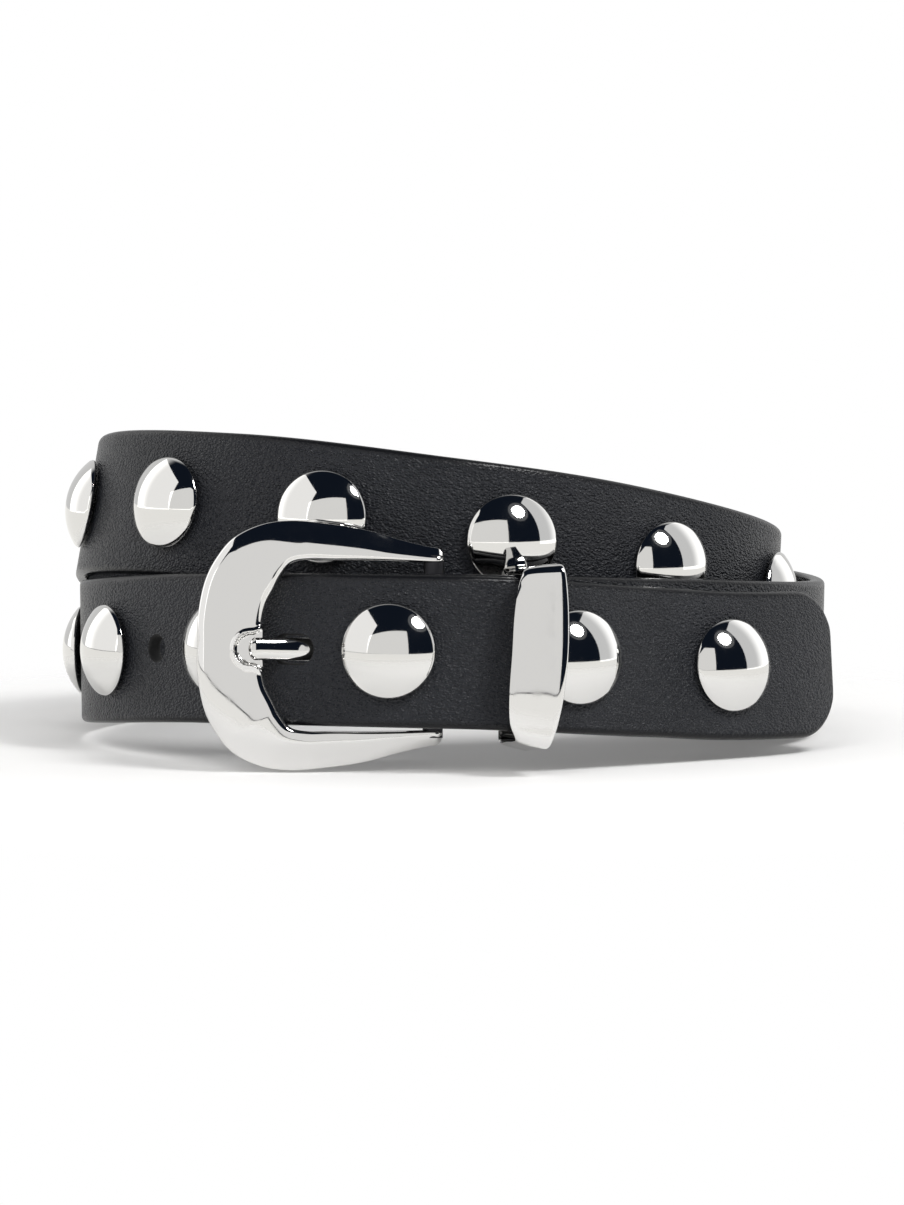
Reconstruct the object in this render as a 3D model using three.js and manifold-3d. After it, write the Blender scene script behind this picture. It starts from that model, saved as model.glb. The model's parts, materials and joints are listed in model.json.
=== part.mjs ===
// A black leather belt with a row of polished domed studs, coiled twice round and fastened.
// The strap's free tip comes round the outside of the coil over the buckle, with the tongue through
// the hole nearest its end, and runs on through a deep polished keeper. The rest of the strap climbs
// as it goes round, and its upper turn rests on its lower one at the left.
// Millimetres, +Z up, +X right, the buckle at the front (-Y). The origin is the middle of the footprint.
import * as THREE from "three";
import { mergeVertices } from "three/addons/utils/BufferGeometryUtils.js";
import Module from "manifold-3d";

// The strap
const strapWidth = 30;
const strapThickness = 3;
const strapEdgeRound = 0.8;
const coilRadius = 74.6; // reach of the outermost turn's middle at the front
const tipCornerRadius = 11;
const tipBeyondStud = 30.6; // from the first stud's centre to the end of the tip
const plyGap = 0.3; // between plies that lie on each other
const clearance = 0.3; // between metal and what it holds

// The studs, one every pitch, with a free hole midway between neighbours near the tip
const studDiameter = 18.8;
const studHeight = 4.8;
const studRim = 1.0; // the upright edge under the dome
const studPitch = 37.5;
const studToTip = 15; // the last stud on the inner turn stops this short of where the tip comes to lie
const studSeat = 0.25;
const studSides = 18;
const holeDiameter = 4.9;
const firstHole = 2.5; // in pitches past the first stud
const holeCount = 5;
const usedHoleWidth = 5.4;
const usedHoleLength = 9.0; // the hole in use is pulled long by the tongue
const usedHoleShift = 1.2; // away from the tip

// The buckle: a horseshoe frame, its bar and its tongue
const frameWidth = 48;
const frameHeight = 49.2;
const frameDepth = 5;
const spineWidth = 12.8;
const frameSideGap = 1.8; // beside the strap, each side
const strapDrop = 0.75; // the strap lies this much below the frame's middle
const barDiameter = 4;
const barInset = 1.5; // from the horns' ends
const holeToSpine = 6.2; // from the middle of the hole in use to the spine's inner edge
const spineOverStrap = 3.5; // from the strap to the spine's back, near the spine's inner edge
const tongueWidth = 4.5;
const tongueThickness = 2.4;
const tongueEye = 1.8; // wall of the eye round the bar
const tongueOnSpine = 2.7;
const notchWidth = 6;
const notchBeyond = 2.6; // past the tongue's end
const foldReturn = 38; // length of the end that is folded back behind the bar

// The keeper, a deep loop past the buckle
const keeperFromStud = 10.3; // from the centre of the stud that its front half covers
const keeperTurn = 6; // degrees that it swings back to face the front
const keeperWidth = 11;
const keeperPlate = 2.2;
const keeperBand = 1.7;
const keeperBow = 1.6; // how much its front stands out in the middle
const keeperPlay = 1.4; // above and below the strap
const keeperDrop = 0.3;

const wasm = await Module();
wasm.setup();

const lay = strapThickness + plyGap; // one ply to the next
const crown = studHeight + studSeat + clearance; // a stud between two plies
const rad = THREE.MathUtils.degToRad;

// What the buckle adds below the strap's lower edge lifts the front of the coil off the floor.
const frontLean = 5;
const prop =
  (frameHeight / 2 - strapDrop - strapWidth / 2) * Math.cos(rad(frontLean)) + (frameDepth / 2) * Math.sin(rad(frontLean));

// The coil, a row for about each eighth of a turn from the tip at the right, leftwards over the front
// and round the back. turn: degrees from the front. reach: share of the coil's radius. plies and crowns:
// how many plies and studs lie outside. prop: share of the buckle's lift. stack: share of a strap's
// width climbed onto the lower turn. lean: degrees that the upper edge tips inwards.
const coil = [
  { turn: -72, reach: 1.117, plies: 0, crowns: 0, prop: 0.3, stack: 0, lean: 5 },
  { turn: -50, reach: 0.99, plies: 0, crowns: 0, prop: 0.45, stack: 0, lean: 6.5 },
  { turn: -35, reach: 0.952, plies: 0, crowns: 0, prop: 0.64, stack: 0, lean: 7.5 },
  { turn: 0, reach: 1, plies: 0, crowns: 0, prop: 1, stack: 0, lean: 5 },
  { turn: 45, reach: 0.97, plies: 0, crowns: 0, prop: 0.88, stack: 0, lean: 3.8 },
  { turn: 90, reach: 1.025, plies: 0, crowns: 0, prop: 0.36, stack: 0, lean: -0.5 },
  { turn: 135, reach: 1.112, plies: 1, crowns: 1, prop: 0.08, stack: 0, lean: 2 },
  { turn: 180, reach: 1.068, plies: 1, crowns: 1, prop: 0, stack: 0, lean: 3 },
  { turn: 225, reach: 1.04, plies: 1, crowns: 1, prop: 0, stack: 0.1, lean: 0 },
  { turn: 270, reach: 1.024, plies: 1, crowns: 1, prop: 0.1, stack: 0.43, lean: -2 },
  { turn: 315, reach: 0.988, plies: 4, crowns: 1, prop: 0.5, stack: 0.66, lean: 1.5 },
  { turn: 360, reach: 0.998, plies: 4, crowns: 1, prop: 0.95, stack: 0.75, lean: 2.5 },
  { turn: 405, reach: 1.02, plies: 2.5, crowns: 1, prop: 0.88, stack: 0.92, lean: 6 },
  { turn: 450, reach: 1.039, plies: 0, crowns: 0, prop: 0.36, stack: 1.02, lean: 10.5 },
  { turn: 495, reach: 1.135, plies: 0, crowns: 0, prop: 0.1, stack: 0.65, lean: 3 },
  { turn: 540, reach: 1.066, plies: 0, crowns: 0, prop: 0, stack: 0.33, lean: 0 },
  { turn: 585, reach: 1.05, plies: 0, crowns: 0, prop: 0, stack: 0.16, lean: -1 },
  { turn: 630, reach: 1.04, plies: 0, crowns: 0, prop: 0.1, stack: 0.08, lean: -1 },
  { turn: 675, reach: 0.952, plies: 1.25, crowns: 0, prop: 0.64, stack: 0.03, lean: 7 },
  { turn: 720, reach: 1, plies: 1.2, crowns: 0, prop: 1, stack: 0, lean: 5 },
  { turn: 765, reach: 0.97, plies: 1.2, crowns: 0, prop: 0.88, stack: 0, lean: 3.8 },
];

// The value of one column at a turn, on a smooth curve through the rows.
function along(rows, value, turn) {
  const last = rows.length - 1;
  let i = 0;
  while (i < last - 1 && rows[i + 1].turn < turn) i++;
  const slope = (k) => {
    const a = Math.max(0, k - 1), b = Math.min(last, k + 1);
    return (value(rows[b]) - value(rows[a])) / (rows[b].turn - rows[a].turn);
  };
  const h = rows[i + 1].turn - rows[i].turn;
  const u = (turn - rows[i].turn) / h;
  const a = value(rows[i]), b = value(rows[i + 1]);
  return (
    (2 * u ** 3 - 3 * u ** 2 + 1) * a + (u ** 3 - 2 * u ** 2 + u) * h * slope(i) +
    (3 * u ** 2 - 2 * u ** 3) * b + (u ** 3 - u ** 2) * h * slope(i + 1)
  );
}

// The lower edge, the lean and the middle of the strap at a turn.
const coilStart = coil[0].turn;
function coilAt(turn) {
  const reach = along(coil, (r) => r.reach * coilRadius - r.plies * lay - r.crowns * crown, turn);
  const lift = along(coil, (r) => r.prop * prop + r.stack * (strapWidth + plyGap), turn);
  const lean = rad(along(coil, (r) => r.lean, turn));
  const a = rad(turn);
  return { x: -reach * Math.sin(a), y: -reach * Math.cos(a), lift, lean };
}
function middleAt(turn) {
  const here = coilAt(turn), before = coilAt(turn - 0.3), after = coilAt(turn + 0.3);
  const run = new THREE.Vector2(after.x - before.x, after.y - before.y).normalize();
  const out = new THREE.Vector3(-run.y, run.x, 0);
  const rise = new THREE.Vector3(0, 0, Math.cos(here.lean)).addScaledVector(out, -Math.sin(here.lean));
  return { middle: new THREE.Vector3(here.x, here.y, here.lift).addScaledVector(rise, strapWidth / 2), rise };
}
const fine = [];
const coilEnd = coil[coil.length - 1].turn;
for (let i = 0, n = 1700; i <= n; i++) {
  const turn = coilStart + ((coilEnd - coilStart) * i) / n;
  const { middle, rise } = middleAt(turn);
  const run = middleAt(turn + 0.3).middle.sub(middleAt(turn - 0.3).middle).normalize();
  const normal = new THREE.Vector3().crossVectors(rise, run).normalize();
  const up = new THREE.Vector3().crossVectors(run, normal);
  const s = i ? fine[i - 1].s + middle.distanceTo(fine[i - 1].middle) : 0;
  fine.push({ turn, s, middle, normal, up });
}

// The two rows of the coil that hold a value of one of their numbers, and how far between them it is.
function between(key, value) {
  let lo = 0, hi = fine.length - 1;
  while (hi - lo > 1) {
    const mid = (lo + hi) >> 1;
    if (fine[mid][key] <= value) lo = mid;
    else hi = mid;
  }
  return { lo, hi, t: (value - fine[lo][key]) / (fine[hi][key] - fine[lo][key]) };
}
const lengthAt = (turn) => {
  const { lo, hi, t } = between("turn", turn);
  return fine[lo].s + t * (fine[hi].s - fine[lo].s);
};

// The strap's middle, outward normal and upward direction at a distance from the end of the tip.
function strapAt(s) {
  const { lo, hi, t } = between("s", s);
  const mix = (k) => fine[lo][k].clone().lerp(fine[hi][k], t);
  const normal = mix("normal").normalize();
  const up = mix("up").addScaledVector(normal, -mix("up").dot(normal)).normalize();
  return { middle: mix("middle"), normal, up };
}

// The bar stands where the tongue, from the hole that it comes out of, ends on the spine.
const holeAt = (k) => tipBeyondStud + (firstHole + k) * studPitch;
const inUse = between("s", holeAt(0));
const holeTurn = fine[inUse.lo].turn + inUse.t * (fine[inUse.hi].turn - fine[inUse.lo].turn);
const tongueReach = frameWidth - barInset - spineWidth; // from the bar to the spine's inner edge
const barTurn = 720 + holeTurn - THREE.MathUtils.radToDeg((tongueReach - holeToSpine) / coilRadius);
const barS = lengthAt(barTurn);
const studCount = 1 + Math.floor((lengthAt(720 + coilStart) - studToTip - studDiameter / 2 - tipBeyondStud) / studPitch);
const frameOf = (at) => new THREE.Matrix4().makeBasis(new THREE.Vector3().crossVectors(at.normal, at.up).negate(), at.normal.clone().negate(), at.up);

// A closed body through rings of equally many points, with flat ends or joined end to end.
function loft(rings, closed = false) {
  const n = rings[0].length, m = rings.length;
  const points = rings.flat();
  const index = [];
  for (let i = 0; i < (closed ? m : m - 1); i++)
    for (let j = 0; j < n; j++) {
      const a = i * n + j, b = i * n + ((j + 1) % n);
      const c = ((i + 1) % m) * n + j, d = ((i + 1) % m) * n + ((j + 1) % n);
      index.push(a, b, d, a, d, c);
    }
  if (!closed)
    for (let j = 1; j < n - 1; j++) {
      index.push(0, j + 1, j);
      index.push((m - 1) * n, (m - 1) * n + j, (m - 1) * n + j + 1);
    }
  const g = new THREE.BufferGeometry().setFromPoints(points);
  g.setIndex(index);
  return facingOut(g);
}

// Turns every face round if the body is inside out.
function facingOut(g) {
  const p = g.attributes.position, k = g.index;
  const a = new THREE.Vector3(), b = new THREE.Vector3(), c = new THREE.Vector3();
  let volume = 0;
  for (let i = 0; i < k.count; i += 3) {
    a.fromBufferAttribute(p, k.getX(i));
    b.fromBufferAttribute(p, k.getX(i + 1));
    c.fromBufferAttribute(p, k.getX(i + 2));
    volume += a.dot(b.cross(c));
  }
  if (volume < 0)
    for (let i = 0; i < k.count; i += 3) {
      const keep = k.getX(i + 1);
      k.setX(i + 1, k.getX(i + 2));
      k.setX(i + 2, keep);
    }
  return g;
}

function solid(geometry, matrix = new THREE.Matrix4()) {
  const bare = new THREE.BufferGeometry();
  bare.setAttribute("position", geometry.attributes.position.clone());
  if (geometry.index) bare.setIndex(geometry.index.clone());
  bare.applyMatrix4(matrix);
  const merged = mergeVertices(bare, 1e-4);
  return new wasm.Manifold(
    new wasm.Mesh({
      numProp: 3,
      vertProperties: new Float32Array(merged.attributes.position.array),
      triVerts: new Uint32Array(merged.index.array),
    }),
  );
}

function geometryOf(manifold) {
  const mesh = manifold.getMesh();
  const g = new THREE.BufferGeometry();
  g.setAttribute("position", new THREE.BufferAttribute(new Float32Array(mesh.vertProperties), 3));
  g.setIndex([...mesh.triVerts]);
  g.computeVertexNormals();
  return g;
}

const part = new THREE.Group();
const leather = new THREE.MeshStandardMaterial({ color: 0x26272b, roughness: 0.6, metalness: 0 });
const metal = new THREE.MeshStandardMaterial({ color: 0xd6d8da, roughness: 0.08, metalness: 1 });
function add(name, geometry, material) {
  const mesh = new THREE.Mesh(geometry, material);
  mesh.name = name;
  part.add(mesh);
  return mesh;
}

// The strap's section across its width, with its edges rounded over.
function strapRing(at, halfWidth = strapWidth / 2) {
  const t = strapThickness / 2, e = Math.min(strapEdgeRound, halfWidth / 2);
  return [
    [t, -halfWidth + e], [t, halfWidth - e], [t - 0.7 * e, halfWidth], [-t + 0.7 * e, halfWidth],
    [-t, halfWidth - e], [-t, -halfWidth + e], [-t + 0.7 * e, -halfWidth], [t - 0.7 * e, -halfWidth],
  ].map(([q, w]) => at.middle.clone().addScaledVector(at.normal, q).addScaledVector(at.up, w));
}

// The strap: the rounded tip, the coil, the fold round the bar and the end folded back behind it.
const foldRadius = barDiameter / 2 + clearance + strapThickness / 2;
const bar = strapAt(barS);
bar.centre = bar.middle.clone().addScaledVector(bar.normal, -foldRadius);
bar.left = new THREE.Vector3().crossVectors(bar.normal, bar.up); // the way that the strap runs there
const rings = [];
const tipHalf = (d) =>
  d >= tipCornerRadius
    ? strapWidth / 2
    : strapWidth / 2 - tipCornerRadius + Math.sqrt(tipCornerRadius ** 2 - (tipCornerRadius - d) ** 2);
for (const share of [0.004, 0.05, 0.16, 0.34, 0.62, 1]) {
  const d = share * tipCornerRadius;
  rings.push(strapRing(strapAt(d), tipHalf(d)));
}
const coilSteps = 132;
for (let i = 1; i <= coilSteps; i++)
  rings.push(strapRing(strapAt(tipCornerRadius + ((barS - tipCornerRadius) * i) / coilSteps)));
for (let i = 1; i <= 7; i++) {
  const a = (Math.PI * i) / 8;
  const normal = bar.normal.clone().multiplyScalar(Math.cos(a)).addScaledVector(bar.left, Math.sin(a));
  rings.push(strapRing({ middle: bar.centre.clone().addScaledVector(normal, foldRadius), normal, up: bar.up }));
}
for (let i = 0; i <= 8; i++) {
  const d = (foldReturn * i) / 8;
  const at = strapAt(barS - d);
  const close = Math.max(0, 1 - d / 13);
  const inset = lay + (2 * foldRadius - lay) * close * close * (3 - 2 * close);
  rings.push(strapRing({ middle: at.middle.clone().addScaledVector(at.normal, -inset), normal: at.normal.clone().negate(), up: at.up }));
}
let strap = solid(loft(rings));
for (let k = 0; k < holeCount; k++) {
  const at = strapAt(holeAt(k) + (k ? 0 : usedHoleShift));
  const r = (k ? holeDiameter : usedHoleWidth) / 2, straight = k ? 0 : usedHoleLength / 2 - r;
  const outline = new THREE.Shape();
  outline.absarc(straight, 0, r, -Math.PI / 2, Math.PI / 2, false);
  if (straight) outline.lineTo(-straight, r);
  outline.absarc(-straight, 0, r, Math.PI / 2, (3 * Math.PI) / 2, false);
  const punch = new THREE.ExtrudeGeometry(outline, { depth: strapThickness * 3, bevelEnabled: false, curveSegments: 8 })
    .translate(0, 0, -strapThickness * 1.5)
    .rotateX(Math.PI / 2);
  strap = strap.subtract(solid(punch, frameOf(at).setPosition(at.middle)));
}
const slotWidth = tongueWidth + 1.4;
const foldOut = foldRadius + strapThickness / 2;
const eyeIn = barDiameter / 2 + clearance, eyeOut = eyeIn + tongueEye;
const slot = new THREE.BoxGeometry(foldOut + eyeOut + 2 * clearance, 2 * foldOut + plyGap, slotWidth);
slot.translate((eyeOut - foldOut) / 2, 0, 0);
strap = strap.subtract(solid(slot, frameOf(bar).setPosition(bar.centre)));
add("strap", geometryOf(strap), leather);

// One stud: a flat back, a short upright rim and a shallow dome.
const domeRise = studHeight - studRim;
const domeRadius = ((studDiameter / 2) ** 2 + domeRise ** 2) / (2 * domeRise);
const domeEdge = Math.asin(studDiameter / 2 / domeRadius);
const profile = [new THREE.Vector2(0, 0), new THREE.Vector2(studDiameter / 2 - 0.25, 0), new THREE.Vector2(studDiameter / 2, 0.25)];
for (let i = 0; i < 4; i++) {
  const a = domeEdge * (1 - i / 4);
  profile.push(new THREE.Vector2(domeRadius * Math.sin(a), studHeight - domeRadius * (1 - Math.cos(a))));
}
profile.push(new THREE.Vector2(0, studHeight));
const studGeometry = new THREE.LatheGeometry(profile, studSides);
for (let k = 0; k < studCount; k++) {
  const at = strapAt(tipBeyondStud + k * studPitch);
  const stud = add(`stud_${String(k + 1).padStart(2, "0")}`, studGeometry, metal);
  const side = new THREE.Vector3().crossVectors(at.normal, at.up);
  stud.matrixAutoUpdate = false;
  stud.matrix.makeBasis(side, at.normal, side.clone().cross(at.normal));
  stud.matrix.setPosition(at.middle.clone().addScaledVector(at.normal, strapThickness / 2 + studSeat));
}

// The buckle's own axes stand at the middle of the bar: x to the right, y into the coil, z up the bar.
// The frame swings forward on it until the spine's back clears the strap that runs on under it.
const buckleFrame = frameOf(bar).setPosition(bar.centre.clone().addScaledVector(bar.up, strapDrop));
const spineBack = 0.4 * frameDepth;
const under = strapAt(holeAt(0) + holeToSpine + spineWidth / 4);
const top = under.middle.clone().addScaledVector(under.normal, strapThickness / 2 + spineOverStrap);
top.applyMatrix4(buckleFrame.clone().invert());
const frameTurn = Math.asin(spineBack / Math.hypot(top.x, top.y)) - Math.atan2(top.y, -top.x);
buckleFrame.multiply(new THREE.Matrix4().makeRotationZ(frameTurn));

// The frame's upper half, from the middle of the spine round to the end of the upper horn. outX and
// inX are shares of the frame's width outside the spine's middle, out of the spine's inner edge for
// inX. outZ is a share of half the frame's height, inZ of half the opening's. deep: share of its depth.
const openingHeight = strapWidth + 2 * frameSideGap;
const horseshoe = [
  { outX: 0, outZ: 0, inX: 0, inZ: 0, deep: 1 },
  { outX: 0.002, outZ: 0.245, inX: 0.003, inZ: 0.25, deep: 1 },
  { outX: 0.027, outZ: 0.5, inX: 0.025, inZ: 0.475, deep: 1 },
  { outX: 0.073, outZ: 0.69, inX: 0.068, inZ: 0.655, deep: 1 },
  { outX: 0.146, outZ: 0.86, inX: 0.11, inZ: 0.83, deep: 0.98 },
  { outX: 0.26, outZ: 0.968, inX: 0.165, inZ: 0.965, deep: 0.95 },
  { outX: 0.385, outZ: 1, inX: 0.26, inZ: 1.005, deep: 0.92 },
  { outX: 0.537, outZ: 0.976, inX: 0.39, inZ: 1, deep: 0.9 },
  { outX: 0.69, outZ: 0.93, inX: 0.575, inZ: 0.998, deep: 0.87 },
  { outX: 0.83, outZ: 0.855, inX: 0.775, inZ: 0.99, deep: 0.84 },
  { outX: 0.94, outZ: 0.805, inX: 0.935, inZ: 0.98, deep: 0.82 },
  { outX: 0.985, outZ: 0.79, inX: 0.985, inZ: 0.985, deep: 0.76 },
  { outX: 1, outZ: 0.765, inX: 1, inZ: 0.995, deep: 0.55 },
];
const frameLeft = -(frameWidth - barInset); // the spine's outer edge from the bar
function frameRing(row, side) {
  const out = new THREE.Vector3(frameLeft + row.outX * frameWidth, 0, (side * row.outZ * frameHeight) / 2);
  const inner = new THREE.Vector3(frameLeft + spineWidth + row.inX * (frameWidth - spineWidth), 0, (side * row.inZ * openingHeight) / 2);
  const centre = out.clone().lerp(inner, 0.5), half = inner.clone().sub(out).multiplyScalar(0.5);
  const ring = [];
  for (let j = 0; j < 10; j++) {
    const a = (2 * Math.PI * j) / 10 + Math.PI / 10;
    const across = Math.sign(Math.cos(a)) * Math.abs(Math.cos(a)) ** 0.8;
    const deep = Math.sin(a) > 0 ? spineBack * Math.sin(a) ** 0.6 : -(frameDepth - spineBack) * (-Math.sin(a)) ** 0.85;
    ring.push(centre.clone().addScaledVector(half, across).add(new THREE.Vector3(0, deep * row.deep, 0)));
  }
  return ring;
}
const frameRings = [
  ...horseshoe.slice(1).reverse().map((row) => frameRing(row, -1)),
  ...horseshoe.map((row) => frameRing(row, 1)),
];
const barRod = new THREE.CylinderGeometry(barDiameter / 2, barDiameter / 2, openingHeight + 2.4, 14).rotateX(Math.PI / 2);
let frame = solid(loft(frameRings)).add(solid(barRod));

// The tongue: an eye round the bar, a run behind the tip's strap, a joggle out through the hole and a
// straight end that lies in a notch in the spine.
const behind = -(strapThickness + tongueThickness) / 2 - clearance;
const before = (strapThickness + tongueThickness) / 2 + clearance;
const intoFrame = buckleFrame.clone().invert();
const over = (s, q) => {
  const at = strapAt(s);
  const p = at.middle.addScaledVector(at.normal, q).applyMatrix4(intoFrame);
  return new THREE.Vector3(p.x, p.y, -strapDrop);
};
const tongueTip = frameLeft + spineWidth - tongueOnSpine;
const hole = holeAt(0);
const tongueEndY = spineBack - frameDepth + tongueThickness / 2 + clearance;
const route = new THREE.CatmullRomCurve3(
  [
    new THREE.Vector3(-(barDiameter / 2 + clearance + tongueThickness / 2), 0.1, -strapDrop),
    over(hole - holeDiameter * 2.1, behind - 2 * clearance),
    over(hole - holeDiameter * 0.95, behind - 2 * clearance),
    over(hole + holeDiameter * 0.08, -2 * clearance),
    over(hole + holeDiameter * 0.85, before),
    new THREE.Vector3(frameLeft + spineWidth + notchBeyond / 2, tongueEndY + clearance, -strapDrop),
    new THREE.Vector3(tongueTip, tongueEndY, -strapDrop),
  ],
  false,
  "centripetal",
);
const tongueRings = [];
for (let i = 0; i <= 26; i++) {
  const u = i < 24 ? (i / 24) * 0.965 : [0.965, 0.988, 1][i - 24];
  const p = route.getPointAt(u), t = route.getTangentAt(u);
  const side = new THREE.Vector3(t.y, -t.x, 0).normalize();
  const shrink = i < 24 ? 1 : [1, 0.86, 0.6][i - 24];
  const flat = 0.92 + 0.08 * u;
  tongueRings.push(
    [[1, 0.45], [0.72, 0.86], [0, 1], [-0.72, 0.86], [-1, 0.45], [-1, -0.45], [-0.72, -0.86], [0, -1], [0.72, -0.86], [1, -0.45]].map(
      ([w, q]) =>
        p.clone().addScaledVector(side, ((q * tongueThickness) / 2) * shrink).add(new THREE.Vector3(0, 0, ((w * tongueWidth) / 2) * shrink * flat)),
    ),
  );
}
const eye = new THREE.LatheGeometry(
  [[eyeIn, -0.5], [eyeOut - 0.3, -0.5], [eyeOut, -0.42], [eyeOut, 0.42], [eyeOut - 0.3, 0.5], [eyeIn, 0.5], [eyeIn, -0.5]].map(
    ([r, w]) => new THREE.Vector2(r, w * tongueWidth),
  ),
  18,
).rotateX(Math.PI / 2).translate(0, 0, -strapDrop);
const bore = new THREE.CylinderGeometry(eyeIn, eyeIn, tongueWidth * 2, 18).rotateX(Math.PI / 2).translate(0, 0, -strapDrop);
const tongue = solid(loft(tongueRings)).subtract(solid(bore)).add(solid(eye));

// The notch: a round-ended recess, open to the frame's opening, cut to just below the tongue.
const notch = new THREE.Shape();
const notchEnd = tongueTip - notchBeyond + notchWidth / 2;
notch.moveTo(frameLeft + spineWidth + notchWidth / 2, -notchWidth / 2);
notch.lineTo(frameLeft + spineWidth + notchWidth / 2, notchWidth / 2);
notch.lineTo(notchEnd, notchWidth / 2);
notch.absarc(notchEnd, 0, notchWidth / 2, Math.PI / 2, (3 * Math.PI) / 2, false);
const notchFloor = tongueEndY + tongueThickness / 2 + clearance;
const scoop = new THREE.ExtrudeGeometry(notch, { depth: frameDepth, bevelEnabled: false, curveSegments: 6 })
  .rotateX(Math.PI / 2)
  .translate(0, notchFloor, -strapDrop);
frame = frame.subtract(solid(scoop));
for (const [name, body] of [["buckle_frame", frame], ["buckle_tongue", tongue]]) {
  const mesh = add(name, geometryOf(body), metal);
  mesh.matrixAutoUpdate = false;
  mesh.matrix.copy(buckleFrame);
}

// The keeper: a loop round all three plies, its front plate raised over the edge of the next stud. It
// hangs on the strap's upper edge. wide: share of its width. shift: how far the row leans to the right.
// It is set out from the tip's strap, in line with it.
const grip = strapAt(tipBeyondStud + studPitch + keeperFromStud);
grip.normal.applyAxisAngle(grip.up, -rad(keeperTurn));
const backIn = -(2.3 * lay + strapThickness / 2 + 1.5 * clearance); // behind the end folded back
const frontIn = strapThickness / 2 + studSeat + studHeight + clearance;
const sideIn = strapWidth / 2 + keeperPlay + keeperDrop / 2;
const keeperRows = [];
const keeperTable = [
  { side: "front", at: -0.97, wide: 0.62, shift: -0.02 },
  { side: "front", at: -0.8, wide: 0.84, shift: -0.03 },
  { side: "front", at: -0.45, wide: 0.97, shift: -0.01 },
  { side: "front", at: 0, wide: 1, shift: 0.02 },
  { side: "front", at: 0.45, wide: 0.97, shift: 0.03 },
  { side: "front", at: 0.8, wide: 0.86, shift: 0.05 },
  { side: "front", at: 0.97, wide: 0.72, shift: 0.07 },
  { side: "top", at: 0.85, wide: 0.6, shift: 0.07 },
  { side: "top", at: 0.4, wide: 0.52, shift: 0.05 },
  { side: "top", at: 0, wide: 0.5, shift: 0.03 },
  { side: "back", at: 0.9, wide: 0.5, shift: 0 },
  { side: "back", at: 0, wide: 0.5, shift: 0 },
  { side: "back", at: -0.9, wide: 0.5, shift: 0 },
  { side: "foot", at: 0, wide: 0.5, shift: 0 },
  { side: "foot", at: 0.4, wide: 0.5, shift: -0.01 },
  { side: "foot", at: 0.85, wide: 0.54, shift: -0.02 },
];
for (const row of keeperTable) {
  const depth = frontIn - backIn;
  let p, out, thick;
  if (row.side === "front") {
    p = [frontIn + keeperBow * (1 - row.at * row.at), row.at * sideIn];
    out = [1, row.at * 0.5 + (Math.abs(row.at) > 0.9 ? Math.sign(row.at) * 0.7 : 0)];
    thick = keeperPlate;
  } else if (row.side === "back") {
    p = [backIn, row.at * sideIn];
    out = [-1, Math.abs(row.at) > 0.5 ? Math.sign(row.at) : 0];
    thick = keeperBand;
  } else {
    const s = row.side === "top" ? 1 : -1;
    p = [backIn + depth * (0.06 + 0.9 * row.at), s * sideIn];
    out = [row.at > 0.8 ? 0.35 : 0, s];
    thick = keeperBand;
  }
  const size = Math.hypot(...out);
  out = [out[0] / size, out[1] / size];
  const half = (keeperWidth * row.wide) / 2, x0 = keeperWidth * row.shift;
  const side = new THREE.Vector3().crossVectors(grip.normal, grip.up);
  keeperRows.push(
    [[-1, 0], [-1, 0.35], [-0.72, 0.8], [-0.3, 1], [0.3, 1], [0.72, 0.8], [1, 0.35], [1, 0]].map(([a, q]) =>
      grip.middle
        .clone()
        .addScaledVector(side, -(x0 + a * half))
        .addScaledVector(grip.normal, p[0] + out[0] * q * thick)
        .addScaledVector(grip.up, p[1] + out[1] * q * thick - keeperDrop),
    ),
  );
}
add("keeper", loft(keeperRows, true), metal);

// The part's own frame: the middle of its footprint, on the floor.
part.updateMatrixWorld(true);
const box = new THREE.Box3();
part.traverse((o) => {
  if (!o.isMesh) return;
  const g = o.geometry.clone().applyMatrix4(o.matrixWorld);
  g.computeBoundingBox();
  box.union(g.boundingBox);
});
part.position.set(-(box.min.x + box.max.x) / 2, -(box.min.y + box.max.y) / 2, -box.min.z);

export default part;
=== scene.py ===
# A black leather belt with one row of polished domed studs, coiled twice round and fastened at the
# front. The part's lengths below are in millimetres and are turned into metres as each mesh is made.
import json
import math

import bmesh
import bpy
import numpy as np
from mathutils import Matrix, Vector

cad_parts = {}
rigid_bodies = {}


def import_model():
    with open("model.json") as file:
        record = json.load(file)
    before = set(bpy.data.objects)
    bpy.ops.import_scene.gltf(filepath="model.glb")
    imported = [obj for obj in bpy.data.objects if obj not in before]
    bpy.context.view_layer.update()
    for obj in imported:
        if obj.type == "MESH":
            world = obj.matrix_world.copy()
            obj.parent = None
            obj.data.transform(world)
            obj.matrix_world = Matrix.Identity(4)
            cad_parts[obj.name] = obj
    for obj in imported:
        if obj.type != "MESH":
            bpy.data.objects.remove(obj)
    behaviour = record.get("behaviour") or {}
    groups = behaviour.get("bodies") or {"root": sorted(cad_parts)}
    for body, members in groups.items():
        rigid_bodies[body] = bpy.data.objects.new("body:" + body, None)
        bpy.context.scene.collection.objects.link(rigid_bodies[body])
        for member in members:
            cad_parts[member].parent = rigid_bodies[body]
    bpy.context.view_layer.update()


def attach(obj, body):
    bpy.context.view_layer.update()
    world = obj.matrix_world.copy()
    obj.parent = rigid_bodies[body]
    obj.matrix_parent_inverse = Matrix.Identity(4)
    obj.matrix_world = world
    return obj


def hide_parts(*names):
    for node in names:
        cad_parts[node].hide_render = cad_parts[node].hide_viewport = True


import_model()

# The camera stands low before the buckle, a little above the belt, with a long lens. Its picture is
# 904 by 1205 pixels, and it looks at the front of the coil at the buckle's height.
picture_width = 904
focal_pixels = 4360
camera_away = 0.850
camera_data = bpy.data.cameras.new("front_camera")
camera_data.sensor_fit = "HORIZONTAL"
camera_data.sensor_width = 36
camera_data.lens = camera_data.sensor_width * focal_pixels / picture_width
camera_data.clip_end = 20
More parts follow.
